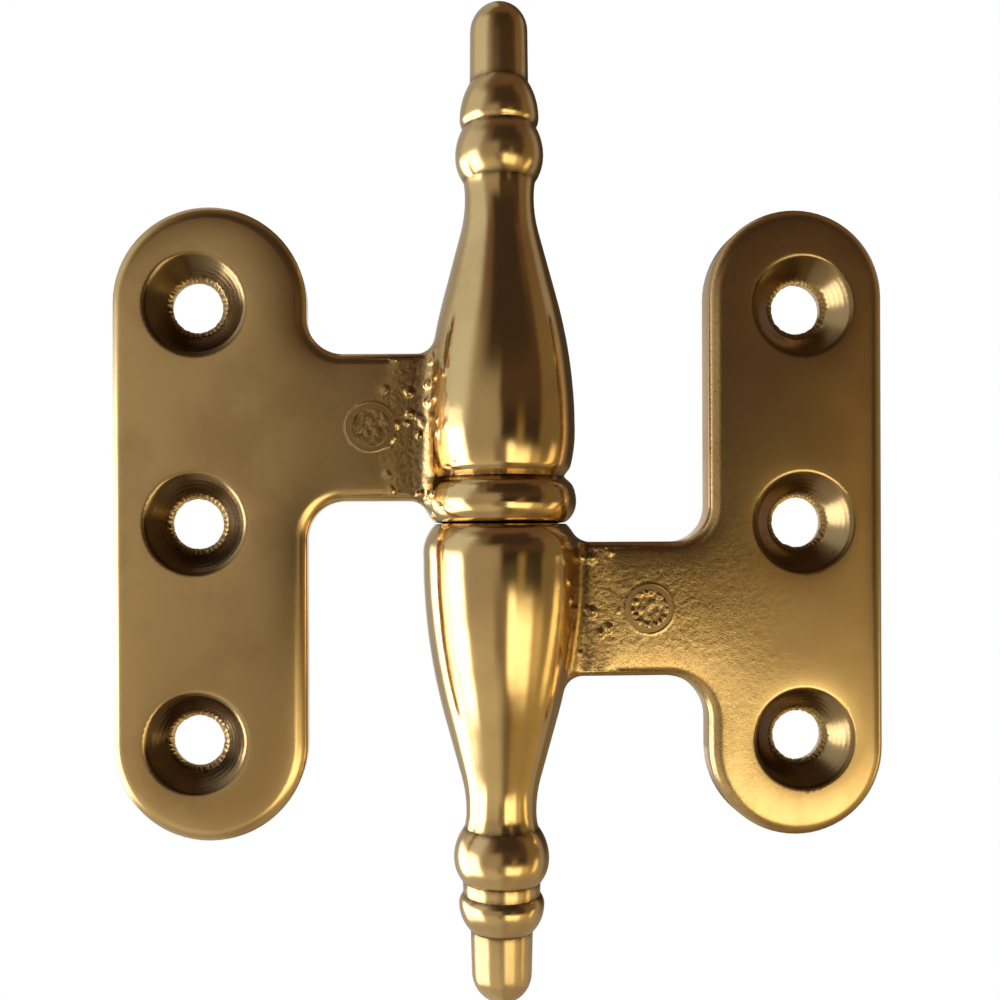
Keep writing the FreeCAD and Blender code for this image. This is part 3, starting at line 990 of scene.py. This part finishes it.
class NodeTable:
    """Short hand for adding and joining shader nodes."""

    def __init__(self, tree):
        self.tree = tree

    def fill(self, node, inputs):
        """Join or set inputs of a node."""
        for name, value in inputs.items():
            if isinstance(value, bpy.types.NodeSocket):
                self.tree.links.new(value, node.inputs[name])
            else:
                node.inputs[name].default_value = value

    def add(self, kind, inputs, **values):
        """Outputs of a new node."""
        node = self.tree.nodes.new(kind)
        for name, value in values.items():
            setattr(node, name, value)
        self.fill(node, inputs)
        return node.outputs

    def math(self, operation, *values):
        return self.add("ShaderNodeMath", dict(enumerate(values)), operation=operation)[0]

    def product(self, first, *others):
        for other in others:
            first = self.math("MULTIPLY", first, other)
        return first

    def plus(self, total, *factors):
        """The total with the product of the factors added to it."""
        return self.math("ADD", total, self.product(*factors))

    def rest(self, share):
        """What a share leaves of 1."""
        return self.math("SUBTRACT", 1.0, share)

    def ramp(self, *values):
        """Smooth step of a value between low and high, from 0 to 1 or from start to end."""
        inputs = dict(enumerate(values))
        return self.add("ShaderNodeMapRange", inputs, interpolation_type="SMOOTHSTEP")["Result"]

    def blend(self, share, first, second):
        """Mix of two colours."""
        return self.add("ShaderNodeMix", {0: share, 6: first, 7: second}, data_type="RGBA")[2]

    def mix(self, share, first, second):
        """Mix of two shaders."""
        return self.add("ShaderNodeMixShader", {0: share, 1: first, 2: second})[0]

    def axes(self, place):
        """The three parts of a place."""
        return self.add("ShaderNodeSeparateXYZ", {0: place})

    def noise(self, place, scale, detail, rough):
        inputs = {"Vector": place, "Scale": scale, "Detail": detail, "Roughness": rough}
        return self.add("ShaderNodeTexNoise", inputs)["Fac"]

    def scaled(self, place, factors):
        return self.add("ShaderNodeVectorMath", {0: place, 1: factors}, operation="MULTIPLY")[0]

    def bump(self, height, strength, distance):
        """Normal that a height bends."""
        inputs = {"Height": height, "Strength": strength, "Distance": distance}
        return self.add("ShaderNodeBump", inputs)["Normal"]

    def light_path(self):
        """Whether a ray is the camera's own, and whether metal or glass sent it on."""
        path = self.add("ShaderNodeLightPath", {})
        mirrored = self.math("MAXIMUM", path["Is Glossy Ray"], path["Is Transmission Ray"])
        return path["Is Camera Ray"], mirrored


def opaque(colour):
    return (*colour, 1.0)


def new_material(name):
    """A metal, with its node table, its shader and the place in millimetres."""
    material = bpy.data.materials.new(name)
    material.use_nodes = True
    table = NodeTable(material.node_tree)
    shader = material.node_tree.nodes["Principled BSDF"]
    table.fill(shader, {"Metallic": 1.0})
    place = table.add("ShaderNodeTexCoord", {})["Object"]
    return material, table, shader, table.scaled(place, (1 / MM,) * 3)


def drill_distance(table, place, leaf):
    """Distance from the nearest screw hole's axis, in millimetres."""
    axes = table.axes(place)
    across = table.math("SUBTRACT", table.math("ABSOLUTE", axes["X"]), abs(leaf.holes[0][0]) / MM)
    pitch = (leaf.holes[1][1] - leaf.holes[0][1]) / MM
    up = table.math("SUBTRACT", axes["Z"], leaf.joint / MM)
    up = table.math("WRAP", up, pitch / 2, -pitch / 2)
    return table.math("SQRT", table.plus(table.product(across, across), up, up))


# Noise on the brass: scale per millimetre, detail and roughness
BRASS_NOISE = {
    "cloud": (0.11, 4.0, 0.6),
    "speck": (1.9, 4.0, 0.7),
    "fine": (7.0, 2.0, 0.6),
    "wobble": (0.22, 2.0, 0.5),
}
STROKE_NOISE = (1.0, 3.0, 0.65)
STROKE_STRETCH = (6.0, 6.0, 0.45)

# Tarnish: noise, where it lies, share and span of the noise, and shares without noise
TARNISH = (
    ("cloud", None, 0.35, (0.42, 0.7)),
    ("speck", "casting", 0.55, (0.5, 0.75)),
    ("fine", "casting", 0.7, (0.5, 0.68)),
)
EVEN_TARNISH = {"casting": 0.2, "wall": 0.35}

# Grime in pits, painted shade with some dirt in corners and grooves, and oxide with painted shade in the
# countersinks
PIT_SPAN = (-0.25, -0.8)
PIT_GRIME = 0.5
CORNER_SHADE_SPAN = (0.3, 0.6, 0.3, 0.75)
OXIDE_AND_SHADE_SPAN = (0.75, 0.45, 0.72, 0.95)
OXIDE_LIT_SIDE = 0.4

# Changes of the roughness: with the clouds, and from the vase to the finials
CLOUD_MIDDLE = 0.5
CLOUD_ROUGH = 0.10
FINIAL_ROUGH = (26.0, 31.0, 0.0, 0.07)

# Finest marks: pattern, where it lies and height, with the pitch of the drill's rings, in millimetres
FINE_MARKS = (
    ("wobble", "turned", 0.035),
    ("fine", "flat", 0.0011),
    ("stroke", "flat", 0.0012),
    ("speck", "casting", 0.022),
    ("fine", "casting", 0.008),
    ("rings", "drilled", 0.0016),
    ("speck", "bore", 0.16),
)
RING_PITCH = 0.32


def brass_material(colours):
    """Aged brass: polished knuckles, satin plates, sandy necks and drilled holes."""
    material, table, shader, place = new_material("aged_brass")
    on = {name: table.add("ShaderNodeAttribute", {}, attribute_name=name)["Fac"] for name in FINISHES}
    on["flat"] = table.rest(on["turned"])
    pattern = {name: table.noise(place, *numbers) for name, numbers in BRASS_NOISE.items()}
    pattern["stroke"] = table.noise(table.scaled(place, STROKE_STRETCH), *STROKE_NOISE)
    turns = table.product(drill_distance(table, place, LeafMap("upper")), 2 * math.pi / RING_PITCH)
    pattern["rings"] = table.math("SINE", turns)

    brown = 0.0
    for name, where, share, span in TARNISH:
        brown = table.plus(brown, table.ramp(pattern[name], *span), on[where] if where else 1.0, share)
    for where, share in EVEN_TARNISH.items():
        brown = table.plus(brown, on[where], share)
    brown = table.math("MINIMUM", brown, 1.0)
    colour = table.blend(brown, opaque(colours.brass), opaque(colours.tarnish))
    pit = table.product(table.ramp(on["relief"], *PIT_SPAN), on["casting"], PIT_GRIME)
    # Darkening in corners and grooves: painted shade with some dirt
    corner = table.product(on["corner"], table.ramp(pattern["speck"], *CORNER_SHADE_SPAN))
    colour = table.blend(table.math("MAXIMUM", pit, corner), colour, opaque(colours.dirt_and_shade))
    # Oxide with painted shade inside the countersinks, less on the side with a painted reflection
    dark = table.product(on["drilled"], table.rest(on["bore"]), table.ramp(pattern["cloud"], *OXIDE_AND_SHADE_SPAN),
                         table.rest(table.product(on["lit_side"], OXIDE_LIT_SIDE)))
    colour = table.blend(dark, colour, opaque(colours.oxide_and_shade))

    rough = table.plus(table.product(on["turned"], colours.polished), on["flat"], colours.satin)
    rough = table.plus(rough, on["casting"], colours.sandy - colours.satin)
    rough = table.plus(rough, table.math("SUBTRACT", pattern["cloud"], CLOUD_MIDDLE), CLOUD_ROUGH)
    from_middle = table.math("ABSOLUTE", table.axes(place)["Z"])
    rough = table.plus(rough, table.ramp(from_middle, *FINIAL_ROUGH))

    height = 0.0
    for name, where, size in FINE_MARKS:
        height = table.plus(height, pattern[name], on[where], size)
    normal = table.bump(height, 1.0, MM)
    table.fill(shader, {"Base Color": colour, "Roughness": rough, "Normal": normal})
    return material


# The pin's grinding marks, its film of oil and how it dulls the steel
GROUND = (1.0, 3.0, 0.6)
GROUND_STRETCH = (0.6, 0.6, 9.0)
GROUND_ROUGH = (0.3, 0.7, 0.22, 0.38)
GROUND_STRENGTH = 0.5
GROUND_HEIGHT = 0.004 * MM
FILM = (0.35, 3.0, 0.55)
FILM_SPAN = (0.4, 0.75)
FILM_SHADE = 0.55


def steel_material(colours):
    """Ground steel with fine rings round the pin and a film of oil."""
    material, table, shader, place = new_material("ground_steel")
    ground = table.noise(table.scaled(place, GROUND_STRETCH), *GROUND)
    film = table.ramp(table.noise(place, *FILM), *FILM_SPAN)
    dull = tuple(FILM_SHADE * part for part in colours.steel)
    table.fill(shader, {
        "Base Color": table.blend(film, opaque(colours.steel), opaque(dull)),
        "Roughness": table.ramp(ground, *GROUND_ROUGH),
        "Normal": table.bump(ground, GROUND_STRENGTH, GROUND_HEIGHT),
    })
    return material


# Colour of the surroundings where nothing is painted over it
DIM_ROOM = (0.20, 0.15, 0.10)

# Soft surfaces: azimuth and elevation spans, softness of both and lean in degrees, and colour
SURROUNDINGS = {
    "left wall": ((-200, -50), (-95, 95), (30, 10), 0, (0.5, 0.54, 0.6)),
    "left field": ((-62, -3), (-95, 60), (12, 10), 0, (0.42, 0.39, 0.38)),
    "left high": ((-40, -4), (19, 60), (10, 6), 0, (0.22, 0.185, 0.16)),
    "right field": ((19, 60), (-95, 60), (8, 10), 0, (0.33, 0.247, 0.135)),
    "right wall": ((54, 200), (-95, 95), (10, 10), 0, (0.22, 0.17, 0.11)),
    "right high": ((14, 66), (5, 60), (8, 5), 0, (0.21, 0.13, 0.065)),
    "ceiling": ((-60, 200), (38, 95), (22, 16), 0, (0.16, 0.105, 0.08)),
    "left low": ((-66, -6), (-46, -17), (12, 9), 0, (0.64, 0.62, 0.56)),
    "right low": ((20, 110), (-40, -14), (8, 9), 0, (0.46, 0.37, 0.2)),
    "left corner": ((-200, -132), (-32, 55), (5, 10), 0.3, (0.46, 0.47, 0.53)),
    "upper window": ((-122, -58), (4, 46), (9, 7), 0.25, (0.72, 0.79, 0.95)),
    "lower window": ((-130, -63), (-35, 6), (5, 5), -0.25, (4.4, 4.6, 5.4)),
    "window bar": ((-96, -93), (-38, 8), (2, 3), -0.4, (1.0, 1.05, 1.2)),
    "screen": ((-3.6, 20), (-8.5, 20), (4, 4), 0.2, (0.035, 0.028, 0.026)),
    "screen right": ((31, 58), (-9, 24), (4, 4), 0.2, (0.05, 0.038, 0.03)),
    "screen top": ((-7, 58), (9, 40), (5, 5), 0.2, (0.09, 0.058, 0.045)),
    "screen high": ((-32, 44), (22, 56), (9, 5), 0.2, (0.055, 0.04, 0.035)),
    "screen foot": ((-14, 3), (-26, -6), (6, 5), 0, (0.27, 0.225, 0.19)),
    "low lamp": ((11, 44), (-31, -12), (6, 5), 0, (2.3, 2.15, 1.7)),
    "low lamp left": ((6, 17), (-30, -9.2), (4, 3), 0, (2.6, 2.45, 1.95)),
    "low lamp right": ((47, 62), (-28, -12), (5, 4), 0, (0.8, 0.66, 0.4)),
    "side lamp": ((84, 95), (-26, -6), (3, 4), 0.4, (1.7, 1.45, 0.85)),
    "right corner": ((97, 117), (-35, 40), (4, 10), 0, (0.36, 0.34, 0.36)),
    "right far": ((123, 165), (-10, 60), (5, 10), 0, (0.07, 0.05, 0.035)),
}

# White wall behind the hinge, between these cosines of the angle from straight behind
WHITE = (1, 1, 1)
BEHIND = (math.cos(math.radians(20)), math.cos(math.radians(14)))


def soft_span(table, value, low, high, softness):
    """1 between low and high, 0 outside, in degrees."""
    rise = table.ramp(value, math.radians(low - softness), math.radians(low + softness))
    fall = table.ramp(value, math.radians(high - softness), math.radians(high + softness), 1.0, 0.0)
    return table.product(rise, fall)


def make_surroundings():
    """World of soft surfaces, white where the camera looks at it."""
    world = bpy.data.worlds.new("surroundings")
    world.use_nodes = True
    bpy.context.scene.world = world
    table = NodeTable(world.node_tree)
    background = world.node_tree.nodes["Background"]
    axes = table.axes(table.add("ShaderNodeTexCoord", {})["Generated"])
    azimuth = table.math("ARCTAN2", axes["X"], table.product(axes["Y"], -1.0))
    elevation = table.math("ARCSINE", axes["Z"])
    colour = opaque(DIM_ROOM)
    for across, up, softness, lean, paint in SURROUNDINGS.values():
        upright = table.math("MULTIPLY_ADD", elevation, -lean, azimuth)
        share = table.product(soft_span(table, upright, *across, softness[0]),
                              soft_span(table, elevation, *up, softness[1]))
        colour = table.blend(share, colour, opaque(paint))
    seen, mirrored = table.light_path()
    behind = table.product(mirrored, table.ramp(axes["Y"], *BEHIND))
    white = table.math("MAXIMUM", seen, behind)
    table.fill(background, {"Color": table.blend(white, colour, opaque(WHITE))})


# The floor's paint and glow, how metal sees it, and how it fades from the middle
FLOOR_PAINT = (0.9, 0.9, 0.9)
FLOOR_GLOW = 1.12
FLOOR_MIRRORED = 0.4
FLOOR_CLEAR = -0.55
FLOOR_FADE = (8 * MM, 34 * MM, 1.0, 0.0)
FLOOR_SIDES = 96


def floor_material(shade):
    """Near white where it is seen, straight or mirrored, with some shade and a soft rim."""
    material = bpy.data.materials.new("pale_floor")
    material.use_nodes = True
    table = NodeTable(material.node_tree)
    nodes = material.node_tree.nodes
    nodes.remove(nodes["Principled BSDF"])
    paint = table.add("ShaderNodeBsdfDiffuse", {"Color": opaque(FLOOR_PAINT)})[0]
    glow = table.add("ShaderNodeEmission", {"Strength": FLOOR_GLOW})[0]
    clear = table.add("ShaderNodeBsdfTransparent", {})[0]
    camera, mirrored = table.light_path()
    seen = table.math("MAXIMUM", table.product(camera, 1 - shade), table.product(mirrored, FLOOR_MIRRORED))
    place = table.add("ShaderNodeTexCoord", {})["Object"]
    from_middle = table.add("ShaderNodeVectorMath", {0: place}, operation="LENGTH")["Value"]
    solid = table.math("MULTIPLY_ADD", mirrored, FLOOR_CLEAR, 1.0)
    solid = table.product(table.ramp(from_middle, *FLOOR_FADE), solid)
    floor = table.mix(solid, clear, table.mix(seen, paint, glow))
    table.fill(nodes["Material Output"], {"Surface": floor})
    return material


class HINGE_OT_leaves(bpy.types.Operator):
    """Dress both leaves: even fronts, rolled rims, cast necks and brass"""

    bl_idname = "hinge.leaves"
    bl_label = "Dress the leaves"

    def execute(self, context):
        settings = context.scene.hinge_casting
        material = brass_material(context.scene.hinge_brass)
        for side in LEAF_BODIES:
            make_leaf(side, settings, material)
        return {"FINISHED"}


class HINGE_OT_pin(bpy.types.Operator):
    """Give the pin its ground steel"""

    bl_idname = "hinge.pin"
    bl_label = "Finish the pin"

    def execute(self, context):
        pin = frame["nodes"]["hinge_pin"]
        pin.data.materials.clear()
        pin.data.materials.append(steel_material(context.scene.hinge_brass))
        return {"FINISHED"}


def make_floor(scene, stage):
    """Round floor just under the hinge."""
    bm = bmesh.new()
    bmesh.ops.create_circle(bm, cap_ends=True, segments=FLOOR_SIDES, radius=stage.floor_radius)
    mesh = bpy.data.meshes.new("floor")
    bm.to_mesh(mesh)
    bm.free()
    mesh.materials.append(floor_material(stage.floor_shade))
    floor = bpy.data.objects.new("floor", mesh)
    floor.location.z = CAD_BOX[0].z - ROOM
    scene.collection.objects.link(floor)


SENSOR_WIDTH = 36.0


def make_camera(scene, stage):
    """Camera at the photograph's angle."""
    lens = bpy.data.cameras.new("camera")
    lens.sensor_width = SENSOR_WIDTH
    lens.lens = stage.lens
    lens.shift_x, lens.shift_y = stage.shift
    lens.clip_start = MM
    camera = bpy.data.objects.new("camera", lens)
    turn = Matrix.Rotation(-stage.camera_turn, 4, "Z")
    upright = Matrix.Rotation(math.radians(90), 4, "X")
    roll = Matrix.Rotation(stage.camera_roll, 4, "Z")
    camera.matrix_world = Matrix.Translation(stage.camera_place) @ turn @ upright @ roll
    scene.collection.objects.link(camera)
    scene.camera = camera


class HINGE_OT_stage(bpy.types.Operator):
    """Set the floor, the surroundings and the camera"""

    bl_idname = "hinge.stage"
    bl_label = "Set the stage"

    def execute(self, context):
        scene = context.scene
        scene.view_settings.view_transform = "Standard"
        make_surroundings()
        make_floor(scene, scene.hinge_stage)
        make_camera(scene, scene.hinge_stage)
        return {"FINISHED"}


# Settings by their names in the scene, and the steps in order
GROUPS = {"hinge_casting": CastingSettings, "hinge_brass": BrassSettings, "hinge_stage": StageSettings}
STEPS = (HINGE_OT_leaves, HINGE_OT_pin, HINGE_OT_stage)


class HINGE_PT_panel(bpy.types.Panel):
    """Lists the hinge's settings and steps."""

    bl_idname = "HINGE_PT_panel"
    bl_label = "Lift-off hinge"
    bl_space_type = "VIEW_3D"
    bl_region_type = "UI"
    bl_category = "Hinge"

    def draw(self, context):
        for name, group in GROUPS.items():
            column = self.layout.column()
            for setting in group.__annotations__:
                column.prop(getattr(context.scene, name), setting)
        for step in STEPS:
            self.layout.operator(step.bl_idname)


CLASSES = (*GROUPS.values(), *STEPS, HINGE_PT_panel)


def register():
    for item in CLASSES:
        bpy.utils.register_class(item)
    for name, group in GROUPS.items():
        setattr(bpy.types.Scene, name, bpy.props.PointerProperty(type=group))


def unregister():
    for name in GROUPS:
        delattr(bpy.types.Scene, name)
    for item in reversed(CLASSES):
        bpy.utils.unregister_class(item)


def main():
    register()
    bpy.ops.hinge.leaves()
    bpy.ops.hinge.pin()
    bpy.ops.hinge.stage()


if __name__ == "__main__":
    main()
